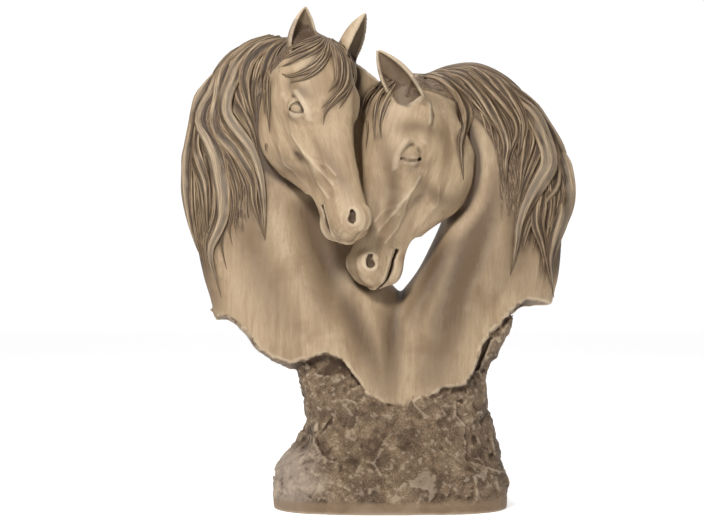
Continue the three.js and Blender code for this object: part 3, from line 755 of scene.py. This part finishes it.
def lock_mesh(route, half, lift, front=True, seed=0):
    """One grooved, tapered lock laid on the body. Returns points, quads and their strand coordinates."""
    g = np.random.default_rng(seed)
    p = spline(route, ALONG)
    t = np.linspace(0, 1, ALONG)
    y = read_map(FRONT if front else BACK, p[:, 0], p[:, 1])
    kernel = np.hanning(7)[1:-1]
    kernel /= kernel.sum()
    y = np.convolve(np.pad(y, 2, mode="edge"), kernel, "valid")
    way = -1.0 if front else 1.0
    y = y + way * lift * np.sin(np.pi * np.clip(t * 1.02, 0, 1)) ** 0.4
    spine = np.stack([p[:, 0], y, p[:, 1]], 1)
    along = np.gradient(spine, axis=0)
    along /= np.linalg.norm(along, axis=1)[:, None]
    e = 3.0
    m = FRONT if front else BACK
    slope_x = (read_map(m, p[:, 0] + e, p[:, 1]) - read_map(m, p[:, 0] - e, p[:, 1])) / (2 * e)
    slope_z = (read_map(m, p[:, 0], p[:, 1] + e) - read_map(m, p[:, 0], p[:, 1] - e)) / (2 * e)
    slope_x, slope_z = np.clip(slope_x, -2.2, 2.2), np.clip(slope_z, -2.2, 2.2)
    out = np.stack([slope_x, -np.ones(ALONG), slope_z], 1) * -way
    out -= (out * along).sum(1)[:, None] * along
    out /= np.linalg.norm(out, axis=1)[:, None]
    for _ in range(2):
        out[1:-1] = (out[:-2] + 2 * out[1:-1] + out[2:]) / 4
    across = np.cross(along, out)
    twist = 0.35 * np.sin(t * (3 + 3 * g.random()) + 6.3 * g.random())
    a2 = across * np.cos(twist)[:, None] + out * np.sin(twist)[:, None]
    o2 = np.cross(a2, along)
    width = half * np.minimum(0.2 + 3.5 * t, 1) * np.clip(2.0 * (1 - t), 0.02, 1) ** 0.8
    angle = np.linspace(0, 2 * np.pi, AROUND, endpoint=False)
    ridges = g.integers(4, 7)
    groove = 1 + 0.13 * np.cos(ridges * angle[None] + 1.5 * g.random() + 1.2 * np.sin(3 * t[:, None]))
    u, v = np.cos(angle)[None] * groove, np.sin(angle)[None] * groove
    pts = (spine[:, None] + (width[:, None] * u)[..., None] * a2[:, None]
           + (width[:, None] * 0.5 * v)[..., None] * o2[:, None])
    pts = np.vstack([pts.reshape(-1, 3), spine[:1], spine[-1:]])
    i = np.arange(ALONG - 1)[:, None] * AROUND
    k = np.arange(AROUND)[None]
    quads = np.stack([i + AROUND + k, i + AROUND + (k + 1) % AROUND, i + (k + 1) % AROUND, i + k],
                     -1).reshape(-1, 4)
    n0, n1 = ALONG * AROUND, ALONG * AROUND + 1
    k = np.arange(AROUND)
    last = (ALONG - 1) * AROUND
    caps = np.vstack([np.stack([k, (k + 1) % AROUND, np.full(AROUND, n0)], 1),
                      np.stack([last + (k + 1) % AROUND, last + k, np.full(AROUND, n1)], 1)])
    run = np.r_[0, np.cumsum(np.linalg.norm(np.diff(spine, axis=0), axis=1))]
    strand = np.stack([np.broadcast_to(angle[None] * half, (ALONG, AROUND)),
                       np.broadcast_to(run[:, None] * 0.05, (ALONG, AROUND)),
                       np.full((ALONG, AROUND), 13.7 * (seed % 97))], -1).reshape(-1, 3)
    strand = np.vstack([strand, strand[:1], strand[-1:]])
    bump = np.broadcast_to((groove - 1) / 0.13, (ALONG, AROUND)).reshape(-1)
    bump = np.r_[bump, 0, 0]
    return pts, quads, caps, strand, bump


def mane(guides, widths, between, seed):
    """Guide locks, thinner locks between them, and plainer ones on the back."""
    g = np.random.default_rng(seed)
    locks = []
    guides = [spline(r, 40) for r in guides]
    for k, (route, half) in enumerate(zip(guides, widths)):
        locks.append((route, half * 1.3, 1.6 + 0.8 * (k % 3), True, seed + k))
        if g.random() < 0.9:
            shifted = route + np.array([half * 0.9, 0]) * np.linspace(0.2, 1, 40)[:, None] * g.choice([-1, 1])
            locks.append((shifted[: int(40 * g.uniform(0.7, 0.95))], half * 0.6, 1.5, True, seed + 31 + k))
    for k, (one, two) in enumerate(zip(guides[:-1], guides[1:])):
        for j in range(between):
            f = (j + g.uniform(0.2, 0.8)) / between
            route = one * (1 - f) + two * f
            sway = g.normal(0, 1.5, 2)[None] * np.sin(np.linspace(0, np.pi * g.uniform(1, 2.4), 40))[:, None]
            route = (route + sway)[: int(40 * g.uniform(0.78, 1))]
            locks.append((route, g.uniform(3.6, 7.0), g.uniform(-1.6, 1.0), True, seed + 100 + 17 * k + j))
    back = guides[2:]
    for k, (one, two) in enumerate(zip(back[:-1], back[1:])):
        for j in range(2):
            f = (j + g.uniform(0.2, 0.8)) / 2
            route = (one * (1 - f) + two * f)[: int(40 * g.uniform(0.8, 1))]
            locks.append((route, g.uniform(5, 7.5), g.uniform(-0.5, 1.5), False, seed + 300 + 17 * k + j))
    return locks


left_mane = mane(LEFT_LOCKS, [3.6, 6.5, 6.5, 6.5, 7, 7.5, 6.5], 8, 1000)
right_mane = mane(RIGHT_LOCKS, [5.5, 4.5, 5.5, 6, 6, 7, 7, 8, 5.5], 6, 2000)
for k, (half, route) in enumerate(FORELOCKS):
    left_mane.append((np.array(route, float), half, 0.8, True, 3000 + k))


# ------------------------------------------------------------------ meshes
def mesh_object(name, points, polygons):
    """points in mm; polygons a list of index arrays, each with one length of polygon."""
    mesh = bpy.data.meshes.new(name)
    loops = np.concatenate([p.reshape(-1) for p in polygons]).astype(np.int32)
    totals = np.concatenate([np.full(len(p), p.shape[1]) for p in polygons]).astype(np.int32)
    mesh.vertices.add(len(points))
    mesh.vertices.foreach_set("co", (np.asarray(points) / 1000).astype(F).ravel())
    mesh.loops.add(len(loops))
    mesh.loops.foreach_set("vertex_index", loops)
    mesh.polygons.add(len(totals))
    mesh.polygons.foreach_set("loop_start", np.r_[0, np.cumsum(totals)[:-1]].astype(np.int32))
    mesh.polygons.foreach_set("loop_total", totals)
    mesh.update(calc_edges=True)
    mesh.polygons.foreach_set("use_smooth", np.ones(len(mesh.polygons), bool))
    made = bpy.data.objects.new(name, mesh)
    bpy.context.scene.collection.objects.link(made)
    return made


def body_meshes(names):
    """The field's surface, cut by upright planes into pieces of even size that share their normals."""
    grid = openvdb.FloatGrid(40.0)
    grid.copyFromArray(FIELD)
    points, _, polygons = grid.convertToPolygons(isovalue=0.0, adaptivity=0.0)
    slopes = [np.gradient(FIELD, STEP, axis=k) for k in range(3)]
    normals = np.stack([trilinear(g, points) for g in slopes], 1)
    normals /= np.maximum(np.linalg.norm(normals, axis=1), 1e-6)[:, None]
    points = points * STEP + G0
    middle = points[polygons[:, 0], 0]
    edges = np.quantile(middle, np.linspace(0, 1, len(names) + 1)[1:-1])
    group = np.searchsorted(edges, middle)
    made = []
    for k, name in enumerate(names):
        own = polygons[group == k]
        used, index = np.unique(own, return_inverse=True)
        piece = mesh_object(name, points[used], [index.reshape(own.shape)])
        piece.data.normals_split_custom_set_from_vertices(normals[used].tolist())
        made.append(piece)
    return made


def trilinear(volume, at):
    f = np.clip(at, 0, np.array(volume.shape) - 1.001)
    i = f.astype(int)
    t = (f - i).astype(F)
    total = 0
    for dx in (0, 1):
        for dy in (0, 1):
            for dz in (0, 1):
                w = (t[:, 0] if dx else 1 - t[:, 0]) * (t[:, 1] if dy else 1 - t[:, 1])
                w = w * (t[:, 2] if dz else 1 - t[:, 2])
                total = total + w * volume[i[:, 0] + dx, i[:, 1] + dy, i[:, 2] + dz]
    return total


def vertices_of(made):
    co = np.empty(len(made.data.vertices) * 3, F)
    made.data.vertices.foreach_get("co", co)
    no = np.empty_like(co)
    made.data.vertices.foreach_get("normal", no)
    return co.reshape(-1, 3) * 1000, no.reshape(-1, 3)


def attribute(made, name, values):
    kind = "FLOAT_VECTOR" if values.ndim == 2 else "FLOAT"
    made.data.attributes.new(name, kind, "POINT").data.foreach_set(
        "vector" if values.ndim == 2 else "value", np.ascontiguousarray(values, F).ravel())


def mane_mesh(name, locks):
    points, quads, caps, strands, bumps = [], [], [], [], []
    base = 0
    for route, half, lift, front, seed in locks:
        p, q, c, s, b = lock_mesh(route, half, lift, front, seed)
        points.append(p)
        quads.append(q + base)
        caps.append(c + base)
        strands.append(s)
        bumps.append(b)
        base += len(p)
    points = np.vstack(points)
    points = np.clip(points, LO - 8, HI + 8)
    made = mesh_object(name, points, [np.vstack(quads), np.vstack(caps)])
    attribute(made, "flow", np.vstack(strands))
    attribute(made, "ridge", np.concatenate(bumps))
    return made


bodies = body_meshes(["casting_left", "casting_mid_left", "casting_mid_right", "casting_right"])
left = mane_mesh("mane_left", left_mane)
right = mane_mesh("mane_right", right_mane)



def shade_map(rows):
    out = np.zeros((GN[0], GN[2]), F)
    for strength, width, route in rows:
        gap, along = line_gap(route)
        ends = 0.55 + 0.45 * np.sin(np.pi * along)
        out = np.maximum(out, strength * np.exp(-((gap / width) ** 2)) * ends)
    return out


SHADE, FACE_SHADE = shade_map(SHADED), shade_map(FACE_SHADED)

# ------------------------------------------------------------------ how enclosed each point is
COARSE = 2
inside = (FIELD[::COARSE, ::COARSE, ::COARSE] < 0).astype(F)
for made in (left, right):
    co, no = vertices_of(made)
    i = np.round((co - no * 1.0 - G0) / (STEP * COARSE)).astype(int)
    i = np.clip(i, 0, np.array(inside.shape) - 1)
    inside[tuple(i.T)] = 1


def box_blur(a, r):
    for axis in range(3):
        c = np.cumsum(np.pad(a, [(r + 1, r) if k == axis else (0, 0) for k in range(3)], mode="edge"),
                      axis=axis)
        n = a.shape[axis]
        a = (np.take(c, np.arange(2 * r + 1, 2 * r + 1 + n), axis)
             - np.take(c, np.arange(n), axis)) / (2 * r + 1)
    return a.astype(F)


def sample(volume, co):
    return trilinear(volume, (co - G0) / (STEP * COARSE))


def bend(r):
    """Curvature of the field at a reach of r voxels: above 0 on ridges, under 0 in grooves."""
    p = np.pad(np.clip(FIELD, -20, 20), r, mode="edge")
    n = FIELD.shape
    total = -6 * p[r:-r, r:-r, r:-r]
    for k in range(3):
        for shift in (0, 2 * r):
            part = [slice(r, r + n[j]) for j in range(3)]
            part[k] = slice(shift, shift + n[k])
            total = total + p[tuple(part)]
    return total / (r * STEP) ** 2


fine_bend, broad_bend = bend(2), bend(5)
r1, r2 = max(1, round(3 / (STEP * COARSE))), max(2, round(9 / (STEP * COARSE)))
tight = box_blur(box_blur(inside, r1), r1)
wide = box_blur(box_blur(inside, r2), r2)
for made in (*bodies, left, right):
    co, no = vertices_of(made)
    one, two = sample(tight, co + no * 2.0), sample(wide, co + no * 4.0)
    attribute(made, "tight", one)
    attribute(made, "wide", two)
    if made in (left, right):
        attribute(made, "bend", np.zeros((len(co), 3), F))
        attribute(made, "rock", np.zeros(len(co), F))
        attribute(made, "hair", np.ones(len(co), F))
        attribute(made, "stain_and_shade", np.zeros(len(co), F))
        attribute(made, "shade", np.zeros(len(co), F))
        continue
    at = (co - G0) / STEP
    plain = np.ones(len(co), F)  # smaller on the heads, where hollows get less dark wash and painted shade
    i = np.clip(np.round((co - no - G0) / STEP).astype(int), 0, GN - 1)
    rock = ROCKY[tuple(i.T)]
    rock = np.maximum(rock, (1 - step01(edge_gap(co), 1.0, 3.0)) * (no[:, 2] < 0.1))
    attribute(made, "rock", rock)
    flow = np.stack([co[:, 0] * 1.0, co[:, 1] * 1.0, co[:, 2] * 0.09], 1)
    hair = np.zeros(len(co), F)
    for (share, crestward), start, sign in ((LEFT_MAPS, 0.17, -1), (RIGHT_MAPS, 0.03, 1)):
        s, c = read_map(share, co[:, 0], co[:, 2]), read_map(crestward, co[:, 0], co[:, 2])
        own = (co[:, 0] - 5) * sign > 0
        limit = start + 0.75 * step01(s, 0.42, 0.78)
        limit = limit + 0.12 * fbm(np.stack([c * 20, 2.0 * s, 0 * s], 1), 1.0, 2, 77)
        cover = step01(c - limit, -0.04, 0.10) * own * (c < 1.4) * step01(co[:, 2], 205, 235)
        hair = np.maximum(hair, cover)
        strand = np.stack([c * 85, co[:, 1] * 0.8, s * 8], 1)
        flow = np.where((cover > 0.02)[:, None], strand + 900, flow)
    stain_and_shade = np.zeros(len(co), F)
    # painted shade along the necks, and on the faces from FACE_SHADE
    shade = read_map(SHADE, co[:, 0], co[:, 2])
    for horse in (RIGHT_HORSE, LEFT_HORSE):
        a, n, l = head_place(horse, co[:, 0], co[:, 1], co[:, 2])
        shell = head_shell(a, n, l)
        on = shell < 0.03
        shade = shade * step01(shell, 0.02, 0.08)
        face_shade = ((1 - step01(shell, 0.02, 0.06)) * read_map(FACE_SHADE, co[:, 0], co[:, 2])
                      * (no[:, 1] < 0.3))
        shade = np.maximum(shade, face_shade)
        plain = np.minimum(plain, 0.3 + 0.7 * step01(shell, 0.02, 0.06))
        flow = np.where(on[:, None], np.stack([a * 0.09, n, l], 1) * HEAD_LENGTH + 500, flow)
        hair = np.where(on & (a > 0.06), 0, hair)
        stain_and_shade = np.maximum(stain_and_shade, head_stain_and_shade(horse, co))
        for ear in horse["ears"]:
            # ear hollows darkened: dark wash, partly painted shade
            deep = ear_field(ear, co[:, 0], co[:, 1], co[:, 2], "hollow")
            stain_and_shade = np.maximum(stain_and_shade, 0.75 * (1 - step01(deep, 0.2, 1.6)))
    bends = [trilinear(fine_bend, at), trilinear(broad_bend, at) * plain, 0 * plain]
    attribute(made, "bend", np.stack(bends, 1))
    attribute(made, "hair", hair)
    attribute(made, "stain_and_shade", stain_and_shade)
    attribute(made, "shade", shade)
    attribute(made, "flow", flow)
    attribute(made, "ridge", np.zeros(len(co), F))


# ------------------------------------------------------------------ finish of the casting, with painted shade and painted highlight
def driftwood():
    material = bpy.data.materials.new("weathered_resin")
    material.use_nodes = True
    nodes, links = material.node_tree.nodes, material.node_tree.links
    nodes.clear()

    def attr(name):
        made = nodes.new("ShaderNodeAttribute")
        made.attribute_name = name
        return made

    def math_(op, a, b=0.0, c=0.0):
        made = nodes.new("ShaderNodeMath")
        made.operation = op
        for k, value in enumerate((a, b, c)):
            if isinstance(value, bpy.types.NodeSocket):
                links.new(value, made.inputs[k])
            else:
                made.inputs[k].default_value = value
        return made.outputs[0]

    def times(a, b):
        return math_("MULTIPLY", a, b)

    def plus(a, b):
        return math_("ADD", a, b)

    def ramp(value, *stops):
        made = nodes.new("ShaderNodeValToRGB")
        links.new(value, made.inputs[0])
        e = made.color_ramp.elements
        while len(e) < len(stops):
            e.new(0.5)
        for k, (at, colour) in enumerate(stops):
            e[k].position = at
            e[k].color = (*colour, 1)
        return made.outputs[0]

    def span(value, low, high, to0=0.0, to1=1.0):
        made = nodes.new("ShaderNodeMapRange")
        made.interpolation_type = "SMOOTHSTEP"
        links.new(value, made.inputs[0])
        for k, number in enumerate((low, high, to0, to1)):
            made.inputs[k + 1].default_value = number
        return made.outputs[0]

    def mix(amount, a, b, blend="MIX"):
        made = nodes.new("ShaderNodeMix")
        made.data_type = "RGBA"
        made.blend_type = blend
        for k, value in ((0, amount), (6, a), (7, b)):
            if isinstance(value, bpy.types.NodeSocket):
                links.new(value, made.inputs[k])
            else:
                made.inputs[k].default_value = value if k == 0 else (*value, 1)
        return made.outputs[2]

    def noise(vector, scale, detail=3.0, rough=0.55, distort=0.0):
        made = nodes.new("ShaderNodeTexNoise")
        links.new(vector, made.inputs["Vector"])
        made.inputs["Scale"].default_value = scale
        made.inputs["Detail"].default_value = detail
        made.inputs["Roughness"].default_value = rough
        made.inputs["Distortion"].default_value = distort
        return made.outputs[0]

    where = nodes.new("ShaderNodeNewGeometry").outputs["Position"]
    scaled = nodes.new("ShaderNodeVectorMath")
    scaled.operation = "SCALE"
    links.new(where, scaled.inputs[0])
    scaled.inputs["Scale"].default_value = 1000
    place = scaled.outputs[0]
    flow = attr("flow").outputs["Vector"]
    rock, hair = attr("rock").outputs["Fac"], attr("hair").outputs["Fac"]
    tight, wide, ridge = (attr(name).outputs["Fac"] for name in ("tight", "wide", "ridge"))

    streak = noise(flow, 0.30, 5, 0.6, 0.3)
    fine = noise(flow, 1.1, 4, 0.65)
    patch = noise(place, 0.022, 3, 0.55, 0.4)
    # skin: warm tan with darker brushed streaks
    tone = plus(times(streak, 0.6), times(fine, 0.4))
    skin = ramp(tone, (0.3, (0.25, 0.172, 0.1)), (0.46, (0.335, 0.24, 0.145)), (0.58, (0.38, 0.281, 0.175)),
                (0.74, (0.43, 0.328, 0.212)))
    skin = mix(span(patch, 0.46, 0.68, 0.0, 0.5), skin, (0.2, 0.125, 0.066))
    smear = noise(flow, 0.045, 3, 0.55, 0.2)
    skin = mix(span(smear, 0.5, 0.7, 0.0, 0.6), skin, (0.19, 0.12, 0.065))
    # painted shade: dark streaks along the necks' valleys and edges and in the faces' hollows
    painted_shade_amount = times(attr("shade").outputs["Fac"], plus(times(streak, 1.0), 0.95))
    skin = mix(math_("MINIMUM", painted_shade_amount, 0.95), skin, (0.095, 0.056, 0.028))
    # hair: browner, dark in the grooves, partly dark wash and partly painted shade
    strands = noise(flow, 0.75, 5, 0.7)
    lines = plus(times(strands, 0.8), times(ridge, 0.10))
    mane_colour = ramp(lines, (0.3, (0.03, 0.017, 0.008)), (0.42, (0.12, 0.075, 0.04)),
                       (0.51, (0.26, 0.182, 0.106)),
                       (0.63, (0.44, 0.34, 0.22)))
    colour = mix(hair, skin, mane_colour)
    # rock: brown grain, crusts and dark pits
    grain = noise(place, 0.7, 6, 0.8)
    big = noise(place, 0.05, 4, 0.6, 0.5)
    stone = ramp(plus(times(grain, 0.6), times(big, 0.4)),
                 (0.38, (0.03, 0.018, 0.01)), (0.46, (0.11, 0.069, 0.038)), (0.54, (0.2, 0.133, 0.078)),
                 (0.64, (0.38, 0.287, 0.186)))
    spot = nodes.new("ShaderNodeSeparateXYZ")
    links.new(place, spot.inputs[0])
    weather = plus(times(big, 60), math_("SUBTRACT", -60, spot.outputs[0]))
    stone = mix(times(span(weather, 20, 70, 0.0, 0.6), span(spot.outputs[2], 80, 45)), stone,
                (0.42, 0.34, 0.27))
    stone = mix(span(spot.outputs[2], 13, 9, 0.0, 0.7), stone, (0.24, 0.155, 0.09))
    colour = mix(rock, colour, stone)
    # dark wash in the hollows and grooves, partly the finish's own and partly painted shade; ridges paler,
    # partly rubbed pale and partly painted highlight
    split = nodes.new("ShaderNodeSeparateXYZ")
    links.new(attr("bend").outputs["Vector"], split.inputs[0])
    groove, broad = split.outputs[0], split.outputs[1]
    near = span(tight, 0.31, 0.60)
    near = mix(hair, near, span(tight, 0.38, 0.95, 0.0, 0.95))
    # far: painted shadow under the jaws and between the heads, where the wide enclosure is high
    far = span(wide, 0.33, 0.52)
    far = mix(hair, far, span(wide, 0.45, 0.85, 0.0, 0.7))
    wash_and_shade = plus(times(near, 0.85), times(far, 0.95))
    cut = math_("SUBTRACT", 1.0, times(rock, 0.6))
    wash_and_shade = plus(wash_and_shade, times(span(groove, -0.06, -0.32, 0.0, 0.55), cut))
    wash_and_shade = plus(wash_and_shade, span(broad, -0.01, -0.16, 0.0, 0.42))
    wash_and_shade = times(wash_and_shade, plus(times(streak, 0.9), 0.5))
    wash_and_shade = math_("MINIMUM", math_("MAXIMUM", wash_and_shade, attr("stain_and_shade").outputs["Fac"]), 0.93)
    colour = mix(wash_and_shade, colour, (0.052, 0.028, 0.013))
    # paler on ridges and open places: partly the rubbed finish, partly painted highlight
    edge = plus(span(tight, 0.25, 0.14, 0.0, 0.5), span(groove, 0.10, 0.32, 0.0, 0.6))
    colour = mix(times(edge, 0.45), colour, (0.56, 0.45, 0.32))

    height = plus(times(fine, 0.14), times(streak, 0.12))
    height = plus(height, times(times(strands, hair), 0.9))
    height = plus(height, times(times(grain, rock), 3.2))
    bump = nodes.new("ShaderNodeBump")
    bump.inputs["Strength"].default_value = 0.55
    bump.inputs["Distance"].default_value = 0.0012
    links.new(height, bump.inputs["Height"])
    shader = nodes.new("ShaderNodeBsdfPrincipled")
    links.new(colour, shader.inputs["Base Color"])
    links.new(bump.outputs[0], shader.inputs["Normal"])
    shader.inputs["Roughness"].default_value = 0.62
    shader.inputs["Specular IOR Level"].default_value = 0.35
    out = nodes.new("ShaderNodeOutputMaterial")
    links.new(shader.outputs[0], out.inputs[0])
    return material


finish = driftwood()
for made in (*bodies, left, right):
    made.data.materials.clear()
    made.data.materials.append(finish)
    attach(made, "root")
    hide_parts(NODE)

# ------------------------------------------------------------------ stage
CAMERA, LOOK_AT, LENS = (-0.037, -1.55, 0.2567), (-0.037, 0, 0.2367), 81


def studio_plane(name, size, place, tilt, shade, rough, glow):
    bpy.ops.mesh.primitive_plane_add(size=size, location=place, rotation=(tilt, 0, 0))
    plane = bpy.context.object
    plane.name = name
    material = bpy.data.materials.new(name)
    material.use_nodes = True
    inputs = material.node_tree.nodes["Principled BSDF"].inputs
    inputs["Base Color"].default_value = (shade, shade, shade, 1)
    inputs["Roughness"].default_value = rough
    inputs["Emission Color"].default_value = (1, 1, 1, 1)
    inputs["Emission Strength"].default_value = glow
    plane.data.materials.append(material)
    return plane


floor = studio_plane("studio_floor", 8, (0, 0, 0), 0, 0.92, 0.9, 0.42)
wall = studio_plane("studio_wall", 12, (0, 3.2, 0), math.pi / 2, 0, 0.5, 1.0)

world = bpy.data.worlds.new("studio")
bpy.context.scene.world = world
world.use_nodes = True
world.node_tree.nodes["Background"].inputs[0].default_value = (1, 1, 1, 1)
world.node_tree.nodes["Background"].inputs[1].default_value = 0.12


def lamp(name, place, size, power, aim=(0, 0, 0.25)):
    light = bpy.data.lights.new(name, "AREA")
    light.size = size
    light.energy = power
    made = bpy.data.objects.new(name, light)
    made.location = place
    made.rotation_euler = (Vector(aim) - Vector(place)).to_track_quat("-Z", "Y").to_euler()
    bpy.context.scene.collection.objects.link(made)


lamp("key", (-0.42, -1.1, 1.25), 0.32, 27)
lamp("fill", (1.3, -1.0, 0.7), 1.0, 2.5)
lamp("top", (0.1, 0.4, 1.6), 0.8, 9)

bpy.context.scene.view_settings.view_transform = "Standard"
camera = bpy.data.cameras.new("photo_view")
camera.lens = LENS
camera.clip_start = 0.05
eye = bpy.data.objects.new("photo_view", camera)
eye.location = CAMERA
eye.rotation_euler = (Vector(LOOK_AT) - eye.location).to_track_quat("-Z", "Y").to_euler()
bpy.context.scene.collection.objects.link(eye)
bpy.context.scene.camera = eye
